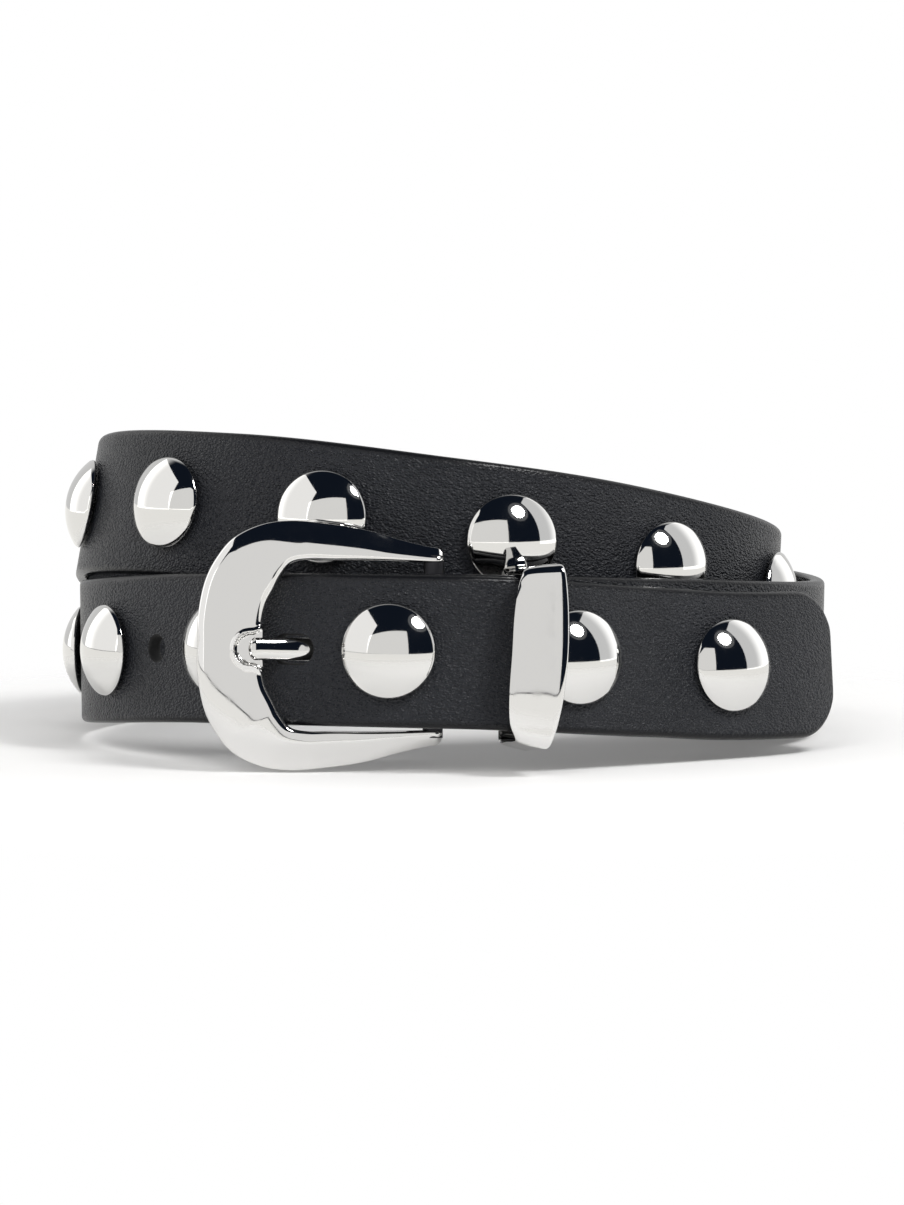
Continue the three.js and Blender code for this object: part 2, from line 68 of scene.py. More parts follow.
camera = bpy.data.objects.new("front_camera", camera_data)
bpy.context.scene.collection.objects.link(camera)
camera_look = Vector((0.0018, -0.0768, 0.0340))
camera_rise = math.radians(4.11)
camera.location = camera_look + camera_away * Vector((0, -math.cos(camera_rise), math.sin(camera_rise)))
camera.rotation_euler = (camera_look - camera.location).to_track_quat("-Z", "Y").to_euler()
bpy.context.scene.camera = camera
bpy.context.scene.view_settings.view_transform = "Standard"

# The floor is a round pale sheet that the belt stands on. Towards its rim it thins away into the
# white round it, so that no edge of it shows.
floor_reach = 600
floor_rings = np.linspace(0.02, 1, 40)
floor_turns = np.linspace(0, 2 * np.pi, 97)[:-1]


def disc_sheet(reach, rings, turns):
    """A flat disc: x and y are the ring's share of the reach times the cosine and sine of the turn."""
    x = reach * np.outer(rings, np.cos(turns))
    y = reach * np.outer(rings, np.sin(turns))
    return np.stack([x, y, np.zeros_like(x)], -1)


def grid_faces(rows, columns, round_rows=False, round_columns=False):
    """The four-sided faces of a grid of points, closed on itself along its rows or its columns."""
    i, j = np.meshgrid(
        np.arange(rows if round_rows else rows - 1),
        np.arange(columns if round_columns else columns - 1),
        indexing="ij",
    )
    a, b = i * columns + j, i * columns + (j + 1) % columns
    below = (i + 1) % rows
    return np.stack([a, b, below * columns + (j + 1) % columns, below * columns + j], -1).reshape(-1, 4)


def make_piece(name, points, faces, smooth=True):
    """Puts points in millimetres and lists of corners into a mesh object that stands at the origin."""
    mesh = bpy.data.meshes.new(name)
    metres = np.asarray(points).reshape(-1, 3) / 1000
    mesh.from_pydata(metres.tolist(), [], [list(map(int, f)) for f in faces])
    mesh.update()
    if smooth:
        mesh.shade_smooth()
    piece = bpy.data.objects.new(name, mesh)
    bpy.context.scene.collection.objects.link(piece)
    return piece


floor_points = disc_sheet(floor_reach, floor_rings, floor_turns)
floor_faces = list(grid_faces(len(floor_rings), len(floor_turns), round_columns=True)[:, ::-1])
floor_faces.append(list(range(len(floor_turns))))
floor = make_piece("floor", floor_points, floor_faces)
floor_finish = bpy.data.materials.new("pale_floor")
floor_finish.use_nodes = True
tree = floor_finish.node_tree
paint = tree.nodes["Principled BSDF"]
paint.inputs["Base Color"].default_value = (0.90, 0.895, 0.885, 1)
paint.inputs["Roughness"].default_value = 0.75
paint.inputs["Specular IOR Level"].default_value = 0.2
place = tree.nodes.new("ShaderNodeTexCoord")
distance = tree.nodes.new("ShaderNodeVectorMath")
distance.operation = "LENGTH"
thin = tree.nodes.new("ShaderNodeMapRange")
thin.inputs["From Min"].default_value = 0.095
thin.inputs["From Max"].default_value = 0.21
thin.inputs["To Min"].default_value = 1
thin.inputs["To Max"].default_value = 0
thin.interpolation_type = "SMOOTHSTEP"
tree.links.new(place.outputs["Object"], distance.inputs[0])
tree.links.new(distance.outputs["Value"], thin.inputs["Value"])
tree.links.new(thin.outputs["Result"], paint.inputs["Alpha"])
floor.data.materials.append(floor_finish)

# The studio is dark in front, pale behind and below, and shows plain white where nothing stands. Round
# the belt stand a broad sheet of light, a strong round lamp with a faint glow about it, a pale card at
# either side and a high sheet before it that lights the floor and shows in no reflection.
studio = bpy.data.worlds.new("studio")
bpy.context.scene.world = studio
studio.use_nodes = True
tree = studio.node_tree
backdrop = tree.nodes["Background"]
backdrop.inputs["Color"].default_value = (1, 1, 1, 1)
backdrop.inputs["Strength"].default_value = 1.0
room = tree.nodes.new("ShaderNodeBackground")
room.inputs["Strength"].default_value = 1.0
sight = tree.nodes.new("ShaderNodeTexCoord")
split = tree.nodes.new("ShaderNodeSeparateXYZ")
fade = tree.nodes.new("ShaderNodeValToRGB")
fade.color_ramp.interpolation = "EASE"
fade.color_ramp.elements[0].position = 0.56
fade.color_ramp.elements[0].color = (0.006, 0.009, 0.016, 1)
fade.color_ramp.elements[1].position = 0.76
fade.color_ramp.elements[1].color = (0.72, 0.72, 0.72, 1)
shift = tree.nodes.new("ShaderNodeMath")
shift.operation = "MULTIPLY_ADD"
shift.inputs[1].default_value = 0.5
shift.inputs[2].default_value = 0.5
ray = tree.nodes.new("ShaderNodeLightPath")
either = tree.nodes.new("ShaderNodeMixShader")
tree.links.new(sight.outputs["Generated"], split.inputs["Vector"])
tree.links.new(split.outputs["Y"], shift.inputs[0])
tree.links.new(shift.outputs["Value"], fade.inputs["Fac"])
below = tree.nodes.new("ShaderNodeMath")
below.operation = "LESS_THAN"
below.inputs[1].default_value = -0.012
ground = tree.nodes.new("ShaderNodeMix")
ground.data_type = "RGBA"
ground.inputs["B"].default_value = (1.04, 1.03, 1.0, 1)
tree.links.new(split.outputs["Z"], below.inputs[0])
tree.links.new(below.outputs["Value"], ground.inputs["Factor"])
tree.links.new(fade.outputs["Color"], ground.inputs["A"])
tree.links.new(ground.outputs["Result"], room.inputs["Color"])
tree.links.new(ray.outputs["Is Camera Ray"], either.inputs["Fac"])
tree.links.new(room.outputs["Background"], either.inputs[1])
tree.links.new(backdrop.outputs["Background"], either.inputs[2])
tree.links.new(either.outputs["Shader"], tree.nodes["World Output"].inputs["Surface"])


def studio_light(name, place, look, size, glow, colour=(1, 1, 1), disc=False):
    """An area light of an even glow: its power is pi times its area times the glow that is wanted."""
    data = bpy.data.lights.new(name, "AREA")
    data.shape = "ELLIPSE" if disc else "RECTANGLE"
    data.size, data.size_y = size
    area = size[0] * size[1] * (math.pi / 4 if disc else 1)
    data.energy = math.pi * area * glow
    data.color = colour
    lamp = bpy.data.objects.new(name, data)
    bpy.context.scene.collection.objects.link(lamp)
    lamp.location = place
    lamp.rotation_euler = (Vector(look) - Vector(place)).to_track_quat("-Z", "Y").to_euler()
    return lamp


studio_light("front_sheet", (-0.62, -1.35, 0.53), (-0.62, 0, 0.53), (2.1, 1.04), 0.875, (1, 0.99, 0.97))
studio_light("round_lamp", (0.56, -0.52, 0.84), (0, -0.05, 0.03), (0.38, 0.38), 20.0, disc=True)
studio_light("lamp_glow", (0.60, -0.555, 0.90), (0, -0.05, 0.03), (0.66, 0.66), 0.10, disc=True)
studio_light("left_card", (-0.90, -0.05, 0.56), (0, -0.05, 0.40), (1.6, 1.1), 1.08, (1, 0.99, 0.975))
studio_light("right_card", (0.60, 0.30, 0.50), (0, 0.30, 0.50), (1.0, 1.0), 0.72)
overhead = studio_light("top_sheet", (-0.1, -1.15, 1.15), (0, -0.1, 0), (1.5, 0.8), 3.3)
overhead.visible_glossy = False

# The strap is one black leather strap, 30 mm wide and 3 mm thick, cut and painted at its edges.
# It starts at the rounded tip, goes twice round, folds round the buckle's bar and lies back on itself.
strap_width = 30
strap_thick = 3
coil_radius = 74.6
tip_corner = 11
tip_beyond_stud = 30.6
stud_pitch = 37.5
stud_seat = 0.25
stud_height = 4.8
gap = 0.3
ply = strap_thick + gap
crown = stud_height + stud_seat + gap
bar_thick = 4
frame_height = 49.2
frame_depth = 5
strap_drop = 0.75
coil_place = np.array([1.1979, -1.8295, 0.1726])
front_lean = math.radians(5)
below_strap = frame_height / 2 - strap_drop - strap_width / 2
front_lift = below_strap * math.cos(front_lean) + frame_depth / 2 * math.sin(front_lean)

# turn: degrees from the front. reach: share of the coil's radius. plies and crowns: how many lie
# outside. lift: share of the buckle's lift. stack: share of a width climbed. lean: degrees inwards.
coil = np.array([
    # turn, reach, plies, crowns, lift, stack, lean
    (-72, 1.117, 0, 0, 0.30, 0, 5),
    (-50, 0.990, 0, 0, 0.45, 0, 6.5),
    (-35, 0.952, 0, 0, 0.64, 0, 7.5),
    (0, 1.000, 0, 0, 1, 0, 5),
    (45, 0.970, 0, 0, 0.88, 0, 3.8),
    (90, 1.025, 0, 0, 0.36, 0, -0.5),
    (135, 1.112, 1, 1, 0.08, 0, 2),
    (180, 1.068, 1, 1, 0, 0, 3),
    (225, 1.040, 1, 1, 0, 0.10, 0),
    (270, 1.024, 1, 1, 0.10, 0.43, -2),
    (315, 0.988, 4, 1, 0.50, 0.66, 1.5),
    (360, 0.998, 4, 1, 0.95, 0.75, 2.5),
    (405, 1.020, 2.5, 1, 0.88, 0.92, 6),
    (450, 1.039, 0, 0, 0.36, 1.02, 10.5),
    (495, 1.135, 0, 0, 0.10, 0.65, 3),
    (540, 1.066, 0, 0, 0, 0.33, 0),
    (585, 1.050, 0, 0, 0, 0.16, -1),
    (630, 1.040, 0, 0, 0.10, 0.08, -1),
    (675, 0.952, 1.25, 0, 0.64, 0.03, 7),
    (720, 1.000, 1.2, 0, 1, 0, 5),
    (765, 0.970, 1.2, 0, 0.88, 0, 3.8),
])
bar_turn = 722.668
slope_turn = 0.3


def smooth_rows(rows, values, at):
    """A cubic through the rows: each row's slope is the rise between its neighbours over their distance."""
    rows, values, at = (np.asarray(v, float) for v in (rows, values, at))
    last = len(rows) - 1
    before, after = np.clip(np.arange(last + 1) - 1, 0, last), np.clip(np.arange(last + 1) + 1, 0, last)
    run = (rows[after] - rows[before]).reshape((-1,) + (1,) * (values.ndim - 1))
    slope = (values[after] - values[before]) / run
    i = np.clip(np.searchsorted(rows, at, side="left") - 1, 0, last - 1)
    h = rows[i + 1] - rows[i]
    u = (at - rows[i]) / h
    u, h = (v.reshape(v.shape + (1,) * (values.ndim - 1)) for v in (u, h))
    return (
        (2 * u**3 - 3 * u**2 + 1) * values[i]
        + (u**3 - 2 * u**2 + u) * h * slope[i]
        + (3 * u**2 - 2 * u**3) * values[i + 1]
        + (u**3 - u**2) * h * slope[i + 1]
    )


def unit(vectors):
    """Vectors divided by their lengths."""
    return vectors / np.linalg.norm(vectors, axis=-1, keepdims=True)


def coil_middle(turn):
    """The middle of the strap and the way its upper edge points: the lower edge goes round at the
    reach less what lies outside it, and the middle is half a width up the leaning edge."""
    lift = smooth_rows(coil[:, 0], coil[:, 4] * front_lift + coil[:, 5] * (strap_width + gap), turn)
    lean = np.radians(smooth_rows(coil[:, 0], coil[:, 6], turn))

    def foot(t):
        r = smooth_rows(coil[:, 0], coil[:, 1] * coil_radius - coil[:, 2] * ply - coil[:, 3] * crown, t)
        return np.stack([-r * np.sin(np.radians(t)), -r * np.cos(np.radians(t))], -1)

    run = unit(foot(turn + slope_turn) - foot(turn - slope_turn))
    rise = np.stack([np.sin(lean) * run[:, 1], -np.sin(lean) * run[:, 0], np.cos(lean)], -1)
    low = np.concatenate([foot(turn), lift[:, None]], -1)
    return low + rise * strap_width / 2, rise


turns = np.linspace(coil[0, 0], bar_turn, 6401)
route_middle, route_rise = coil_middle(turns)
route_run = unit(coil_middle(turns + slope_turn)[0] - coil_middle(turns - slope_turn)[0])
route_normal = unit(np.cross(route_rise, route_run))
route_up = np.cross(route_run, route_normal)
route_length = np.concatenate([[0], np.cumsum(np.linalg.norm(np.diff(route_middle, axis=0), axis=1))])
bar_length = route_length[-1]


def strap_at(s):
    """The strap's middle, outward normal and upward direction at lengths from the end of its tip."""
    s = np.atleast_1d(np.asarray(s, float))
    middle, normal, up = (
        np.stack([np.interp(s, route_length, v[:, k]) for k in range(3)], -1)
        for v in (route_middle + coil_place, route_normal, route_up)
    )
    normal = unit(normal)
    up = unit(up - normal * (up * normal).sum(-1, keepdims=True))
    return middle, normal, up


def strap_section(front_round, back_round):
    """The strap's outline as pairs of outward and upward shares in millimetres, with its upright edge
    pulled in to quarter circles at the two corners, and the way round it from the lower back corner."""
    t, w = strap_thick / 2, strap_width / 2
    front = np.linspace(0, np.pi / 2, 7)
    back = np.linspace(np.pi / 2, np.pi, 5)
    face = np.linspace(-(w - front_round), w - front_round, 25)[1:-1]
    lower_front = np.stack([
        t - front_round + front_round * np.sin(front), -(w - front_round) - front_round * np.cos(front)
    ], -1)
    upper_front = lower_front[::-1] * (1, -1)
    upper_back = np.stack([
        -(t - back_round) + back_round * np.cos(back), w - back_round + back_round * np.sin(back)
    ], -1)
    lower_back = upper_back[::-1] * (1, -1)
    inside = np.linspace(w - back_round, -(w - back_round), 13)[1:-1]
    return np.concatenate([
        lower_front,
        np.stack([np.full(len(face), t), face], -1),
        upper_front,
        upper_back,
        np.stack([np.full(len(inside), -t), inside], -1),
        lower_back,
    ])


def tip_half(d):
    """Half the strap's width at a distance from the end of the tip: two corners of one radius."""
    d = np.clip(d, 0, tip_corner)
    return strap_width / 2 - tip_corner + np.sqrt(tip_corner**2 - (tip_corner - d) ** 2)


def tube_faces(rows, columns):
    """The faces of a closed tube: a grid closed on itself round each row, and a flat face at each end."""
    sides = list(grid_faces(rows, columns, round_columns=True))
    return sides + [list(range(columns))[::-1], list(range((rows - 1) * columns, rows * columns))]


outline = strap_section(1.15, 0.6)
tip_steps = tip_corner * (1 - np.cos(np.linspace(0.12, np.pi / 2, 26)))
end_round = 1.1
steps = np.concatenate([[0.004, 0.03, 0.075], tip_steps, np.linspace(tip_corner, bar_length, 860)[1:]])
middle, normal, up = strap_at(steps)
to_round = end_round - np.clip(steps, 0, end_round)
closing = end_round - np.sqrt(np.clip(end_round**2 - to_round**2, 0, None))
half = tip_half(steps) - closing * 0.8
pulled_in = (strap_width / 2 - half)[:, None]
# Near the narrow tip the edge's round keeps its size, and only the flat between the edges shortens.
upward = np.sign(outline[None, :, 1]) * np.maximum(np.abs(outline[None, :, 1]) - pulled_in, 0.0)
outward = outline[None, :, 0] * (1 - closing / (strap_thick / 2) * 0.75)[:, None]
outer_rings = middle[:, None] + outward[..., None] * normal[:, None] + upward[..., None] * up[:, None]

fold_radius = bar_thick / 2 + gap + strap_thick / 2
bar_middle, bar_normal, bar_up = (v[0] for v in strap_at(bar_length))
bar_centre = bar_middle - bar_normal * fold_radius
bar_left = np.cross(bar_normal, bar_up)
a = np.linspace(0, np.pi, 25)[1:-1]
fold_normal = np.cos(a)[:, None] * bar_normal + np.sin(a)[:, None] * bar_left
fold_rings = (
    bar_centre
    + ((fold_radius + outline[None, :, 0])[..., None] * fold_normal[:, None])
    + outline[None, :, 1, None] * bar_up
)
fold_return = 38
fold_closes = 13
back_steps = np.linspace(0, fold_return, 42)
middle, normal, up = strap_at(bar_length - back_steps)
close = np.clip(1 - back_steps / fold_closes, 0, 1)
inset = ply + (2 * fold_radius - ply) * close * close * (3 - 2 * close)
back_rings = (
    (middle - normal * inset[:, None])[:, None]
    - outline[None, :, 0, None] * normal[:, None]
    + outline[None, :, 1, None] * up[:, None]
)
rings = np.concatenate([outer_rings, fold_rings, back_rings])
around = len(outline)
strap = make_piece("black_strap", rings, tube_faces(len(rings), around))

# The pattern's own place on the strap: the length from the tip, and the way round the section.
way = np.concatenate([[0], np.cumsum(np.linalg.norm(np.diff(outline, axis=0), axis=1))])
far = np.concatenate([steps, bar_length + a * fold_radius, bar_length + np.pi * fold_radius + back_steps])
corner = np.empty(len(strap.data.loops), np.int32)
strap.data.loops.foreach_get("vertex_index", corner)
lap = np.stack(np.broadcast_arrays(far[:, None], way[None, :]), -1).reshape(-1, 2)[corner] / 1000
quads = (len(rings) - 1) * around * 4
column = corner[:quads].reshape(-1, 4) % around
wraps = (column.max(1) == around - 1) & (column.min(1) == 0)
way_round = way[-1] + 0.6
fixed = lap[:quads].reshape(-1, 4, 2)
fixed[wraps, :, 1] = np.where(column[wraps] == 0, way_round / 1000, fixed[wraps, :, 1])
lap[:quads] = fixed.reshape(-1, 2)
strap.data.uv_layers.new(name="along_strap").data.foreach_set("uv", lap.astype(np.float32).ravel())


def punch(name, s, wide, long):
    """A punch through the strap: an outline of two half circles joined by straights, carried through
    the leather along its normal and opened out a little where it meets either face."""
    middle, normal, up = (v[0] for v in strap_at(s))
    along = np.cross(normal, up)
    t = np.linspace(0, 2 * np.pi, 49)[:-1]
    depth = np.array([-4, -1.75, -1.5, -1.2, -0.6, 0.6, 1.1, 1.35, 1.55, 1.8, 4])
    wider = np.array([0.55, 0.5, 0.28, 0.06, 0, 0, 0.08, 0.26, 0.5, 0.8, 0.9])
    x = np.cos(t)[None] * (wide / 2 + wider)[:, None] + (np.sign(np.cos(t)) * (long - wide) / 2)[None]
    y = np.sin(t)[None] * (wide / 2 + wider)[:, None]
    points = middle + x[..., None] * along + y[..., None] * up + depth[:, None, None] * normal
    return make_piece(name, points, tube_faces(len(depth), len(t)), smooth=False)


def recalculate(piece):
    """Turns the faces of a closed piece so that they all point outwards."""
    work = bmesh.new()
    work.from_mesh(piece.data)
    bmesh.ops.recalc_face_normals(work, faces=work.faces)
    work.to_mesh(piece.data)
    work.free()


def apply_modifiers(piece):
    """Replaces a piece's mesh with what its modifiers make of it."""
    bpy.context.view_layer.update()
    made = bpy.data.meshes.new_from_object(piece.evaluated_get(bpy.context.evaluated_depsgraph_get()))
    piece.modifiers.clear()
    piece.data = made


# The leather where the punch cut through it: fibrous and dull, and painted nearly black, darker than the
# strap's face, as painted shade for the inside of the holes.
cut_leather_and_shade = bpy.data.materials.new("cut_leather_with_painted_shade")
cut_leather_and_shade.use_nodes = True
tree = cut_leather_and_shade.node_tree
shader = tree.nodes["Principled BSDF"]
shader.inputs["Roughness"].default_value = 0.8
fibre_place = tree.nodes.new("ShaderNodeTexCoord")
fibre = tree.nodes.new("ShaderNodeTexNoise")
fibre.inputs["Scale"].default_value = 2200
fibre.inputs["Detail"].default_value = 3
fibre_and_shade_tone = tree.nodes.new("ShaderNodeValToRGB")
# Painted shade: both tones are darker than the strap's face so that the holes' walls read as shaded.
fibre_and_shade_tone.color_ramp.elements[0].color = (0.0015, 0.0015, 0.0018, 1)
fibre_and_shade_tone.color_ramp.elements[1].color = (0.0070, 0.0068, 0.0072, 1)
tree.links.new(fibre_place.outputs["Object"], fibre.inputs["Vector"])
tree.links.new(fibre.outputs["Fac"], fibre_and_shade_tone.inputs["Fac"])
tree.links.new(fibre_and_shade_tone.outputs["Color"], shader.inputs["Base Color"])

leather = bpy.data.materials.new("pebbled_black_leather")
strap.data.materials.append(leather)
recalculate(strap)
first_hole = tip_beyond_stud + 2.5 * stud_pitch
hole_count = 5
hole_wide = 4.9
pulled_hole = (5.4, 9.0)
pulled_shift = 1.2
for k in range(hole_count):
    at, wide, long = first_hole + k * stud_pitch, hole_wide, hole_wide
    if k == 0:
        # The tongue has drawn the hole in use out along the strap.
        at, (wide, long) = at + pulled_shift, pulled_hole
    tool = punch(f"punch_{k + 1}", at, wide, long)
    recalculate(tool)
    tool.data.materials.append(cut_leather_and_shade)
    cut = strap.modifiers.new("punched", "BOOLEAN")
    cut.object = tool
    cut.operation = "DIFFERENCE"
    cut.solver = "EXACT"
    cut.material_mode = "TRANSFER"
apply_modifiers(strap)
for tool in [o for o in bpy.data.objects if o.name.startswith("punch_")]:
    bpy.data.objects.remove(tool)
strap.data.set_sharp_from_angle(angle=math.radians(38))

leather.use_nodes = True
tree = leather.node_tree
shader = tree.nodes["Principled BSDF"]
shader.inputs["Specular IOR Level"].default_value = 0.22
length_map = tree.nodes.new("ShaderNodeUVMap")
length_map.uv_map = "along_strap"
turned = tree.nodes.new("ShaderNodeMapping")
turned.inputs["Rotation"].default_value = (0, 0, math.radians(28))
turned.inputs["Scale"].default_value = (1650, 2450, 1)
waver = tree.nodes.new("ShaderNodeTexNoise")
waver.inputs["Scale"].default_value = 900
waver.inputs["Detail"].default_value = 2
bend = tree.nodes.new("ShaderNodeMix")
bend.data_type = "RGBA"
bend.blend_type = "LINEAR_LIGHT"
bend.inputs["Factor"].default_value = 0.55
pebble = tree.nodes.new("ShaderNodeTexVoronoi")
pebble.feature = "SMOOTH_F1"
pebble.inputs["Scale"].default_value = 1
pebble.inputs["Smoothness"].default_value = 0.45
crease = tree.nodes.new("ShaderNodeTexNoise")
crease.inputs["Scale"].default_value = 3000
crease.inputs["Detail"].default_value = 3
grain = tree.nodes.new("ShaderNodeMix")
grain.data_type = "FLOAT"
grain.inputs["Factor"].default_value = 0.25
relief = tree.nodes.new("ShaderNodeBump")
relief.invert = True
relief.inputs["Distance"].default_value = 0.00060
tree.links.new(length_map.outputs["UV"], turned.inputs["Vector"])
tree.links.new(length_map.outputs["UV"], waver.inputs["Vector"])
tree.links.new(length_map.outputs["UV"], crease.inputs["Vector"])
tree.links.new(turned.outputs["Vector"], bend.inputs["A"])
tree.links.new(waver.outputs["Color"], bend.inputs["B"])
tree.links.new(bend.outputs["Result"], pebble.inputs["Vector"])
tree.links.new(pebble.outputs["Distance"], grain.inputs["A"])
tree.links.new(crease.outputs["Fac"], grain.inputs["B"])
tree.links.new(grain.outputs["Result"], relief.inputs["Height"])
tree.links.new(relief.outputs["Normal"], shader.inputs["Normal"])
worn = tree.nodes.new("ShaderNodeTexNoise")
worn.inputs["Scale"].default_value = 55
worn.inputs["Detail"].default_value = 4
tree.links.new(length_map.outputs["UV"], worn.inputs["Vector"])
tone = tree.nodes.new("ShaderNodeValToRGB")
tone.color_ramp.elements[0].position = 0.3
tone.color_ramp.elements[0].color = (0.0120, 0.0130, 0.0160, 1)
tone.color_ramp.elements[1].position = 0.75
tone.color_ramp.elements[1].color = (0.0165, 0.0178, 0.0215, 1)
tree.links.new(worn.outputs["Fac"], tone.inputs["Fac"])
gloss = tree.nodes.new("ShaderNodeMapRange")
gloss.inputs["To Min"].default_value = 0.22
gloss.inputs["To Max"].default_value = 0.40
tree.links.new(grain.outputs["Result"], gloss.inputs["Value"])
# The edges are painted: smooth, glossier and darker along the rounds and the upright edge. The stops
# give where they lie, in shares of the millimetres round the strap's section.
section_length = 64.55
parts = tree.nodes.new("ShaderNodeSeparateXYZ")
round_share = tree.nodes.new("ShaderNodeMath")
round_share.operation = "MULTIPLY"
round_share.inputs[1].default_value = 1000 / section_length
painted = tree.nodes.new("ShaderNodeValToRGB")
painted_stops = (
    (0.000, 1), (0.022, 1), (0.036, 0), (0.450, 0), (0.464, 1),
    (0.520, 1), (0.534, 0), (0.960, 0), (0.974, 1),
)
for where, value in painted_stops:
    stop = painted.color_ramp.elements[0] if where == 0 else painted.color_ramp.elements.new(where)
    stop.color = (value, value, value, 1)
plain_share = tree.nodes.new("ShaderNodeMapRange")
plain_share.inputs["To Min"].default_value = 0.95
plain_share.inputs["To Max"].default_value = 0.12
edge_gloss = tree.nodes.new("ShaderNodeMix")
edge_gloss.data_type = "FLOAT"
edge_gloss.inputs["B"].default_value = 0.27
edge_tone = tree.nodes.new("ShaderNodeMix")
edge_tone.data_type = "RGBA"
edge_tone.inputs["B"].default_value = (0.0055, 0.0058, 0.0070, 1)
tree.links.new(length_map.outputs["UV"], parts.inputs["Vector"])
tree.links.new(parts.outputs["Y"], round_share.inputs[0])
tree.links.new(round_share.outputs["Value"], painted.inputs["Fac"])
tree.links.new(painted.outputs["Color"], plain_share.inputs["Value"])
tree.links.new(plain_share.outputs["Result"], relief.inputs["Strength"])
tree.links.new(painted.outputs["Color"], edge_gloss.inputs["Factor"])
tree.links.new(gloss.outputs["Result"], edge_gloss.inputs["A"])
tree.links.new(edge_gloss.outputs["Result"], shader.inputs["Roughness"])
tree.links.new(painted.outputs["Color"], edge_tone.inputs["Factor"])
tree.links.new(tone.outputs["Color"], edge_tone.inputs["A"])
tree.links.new(edge_tone.outputs["Result"], shader.inputs["Base Color"])
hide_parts("strap")
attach(strap, "root")

# The studs are shallow domes pressed from sheet steel and polished like a mirror. Each has a tight
# rolled rim and sits on the strap's face, one every 37.5 mm, held by prongs that don't show.
stud_wide = 18.8
stud_rim = 1.0
stud_count = 23


def stud_dome(s):
    """A profile turned round the strap's normal: a flat back, a rolled rim and an arc whose radius
    is that of a circle through the rim and the crown."""
    rise = stud_height - stud_rim
    radius = ((stud_wide / 2) ** 2 + rise**2) / (2 * rise)
    edge = math.asin(stud_wide / 2 / radius)
    arc = np.linspace(edge * 0.965, 0.02, 26)
    roll = np.linspace(-np.pi / 2, np.pi / 2 - edge, 8)
    roll_radius = 0.42
    rim_r = stud_wide / 2 - roll_radius + roll_radius * np.cos(roll)
    rim_h = stud_rim - 0.34 + roll_radius * np.sin(roll)
    r = np.concatenate([[0.02, 4, stud_wide / 2 - 0.8], rim_r, radius * np.sin(arc)])
    h = np.concatenate([[0, 0, 0], rim_h, stud_height - radius * (1 - np.cos(arc))])
    h = np.maximum(h, 0)
    middle, normal, up = (v[0] for v in strap_at(s))
    side = np.cross(normal, up)
    t = np.linspace(0, 2 * np.pi, 73)[:-1]
    base = middle + normal * (strap_thick / 2 + stud_seat)
    ring = np.cos(t)[:, None] * side + np.sin(t)[:, None] * up
    return base + r[:, None, None] * ring[None] + h[:, None, None] * normal


polish = bpy.data.materials.new("mirror_polished_steel")
polish.use_nodes = True
tree = polish.node_tree
shader = tree.nodes["Principled BSDF"]
shader.inputs["Metallic"].default_value = 1
shader.inputs["Base Color"].default_value = (0.72, 0.715, 0.70, 1)
object_place = tree.nodes.new("ShaderNodeTexCoord")
haze = tree.nodes.new("ShaderNodeTexNoise")
haze.inputs["Scale"].default_value = 260
haze.inputs["Detail"].default_value = 5
haze.inputs["Roughness"].default_value = 0.7
clean = tree.nodes.new("ShaderNodeMapRange")
clean.inputs["From Min"].default_value = 0.35
clean.inputs["From Max"].default_value = 0.8
clean.inputs["To Min"].default_value = 0.025
clean.inputs["To Max"].default_value = 0.10
swell = tree.nodes.new("ShaderNodeTexNoise")
swell.inputs["Scale"].default_value = 120
swell.inputs["Detail"].default_value = 1
ripple = tree.nodes.new("ShaderNodeBump")
ripple.inputs["Strength"].default_value = 0.25
ripple.inputs["Distance"].default_value = 0.00004
for node in (haze, swell):
    tree.links.new(object_place.outputs["Object"], node.inputs["Vector"])
tree.links.new(haze.outputs["Fac"], clean.inputs["Value"])
tree.links.new(clean.outputs["Result"], shader.inputs["Roughness"])
tree.links.new(swell.outputs["Fac"], ripple.inputs["Height"])
tree.links.new(ripple.outputs["Normal"], shader.inputs["Normal"])

for k in range(stud_count):
    points = stud_dome(tip_beyond_stud + k * stud_pitch)
    stud = make_piece(f"domed_stud_{k + 1:02d}", points, tube_faces(*points.shape[:2]))
    recalculate(stud)
    stud.data.set_sharp_from_angle(angle=math.radians(50))
    stud.data.materials.append(polish)
    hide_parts(f"stud_{k + 1:02d}")
    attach(stud, "root")

# The buckle's frame is a horseshoe of cast, polished zinc: a broad puffed spine that narrows into
# two horns, with the bar between their ends. A rounded notch in the spine takes the tongue's end.
frame_width = 48
spine_width = 12.8
strap_room = 1.8
opening_height = strap_width + 2 * strap_room
frame_turn = 0.08920
tongue_thick = 2.4
tongue_wide = 4.5
right = -bar_left
buckle_x = math.cos(frame_turn) * right + math.sin(frame_turn) * (-bar_normal)
buckle_y = -math.sin(frame_turn) * right + math.cos(frame_turn) * (-bar_normal)
buckle_origin = bar_centre + bar_up * strap_drop
horseshoe = np.array([
    # out_x, out_z, in_x, in_z, deep: shares of the frame's width, half height, opening and depth
    (0, 0, 0, 0, 1),
    (0.002, 0.245, 0.003, 0.25, 1),
    (0.027, 0.5, 0.025, 0.475, 1),
    (0.073, 0.69, 0.068, 0.655, 1),
    (0.146, 0.86, 0.11, 0.83, 0.98),
    (0.26, 0.968, 0.165, 0.965, 0.95),
    (0.385, 1, 0.26, 1.005, 0.92),
    (0.537, 0.976, 0.39, 1, 0.9),
    (0.69, 0.93, 0.575, 0.998, 0.87),
    (0.83, 0.855, 0.775, 0.99, 0.84),
    (0.94, 0.805, 0.935, 0.98, 0.82),
    (0.985, 0.79, 0.985, 0.985, 0.76),
    (1, 0.765, 1, 0.995, 0.55),
])
bar_from_end = 1.5
frame_left = -(frame_width - bar_from_end)
tongue_tip = frame_left + spine_width - 2.7
notch_left = tongue_tip - 2.6
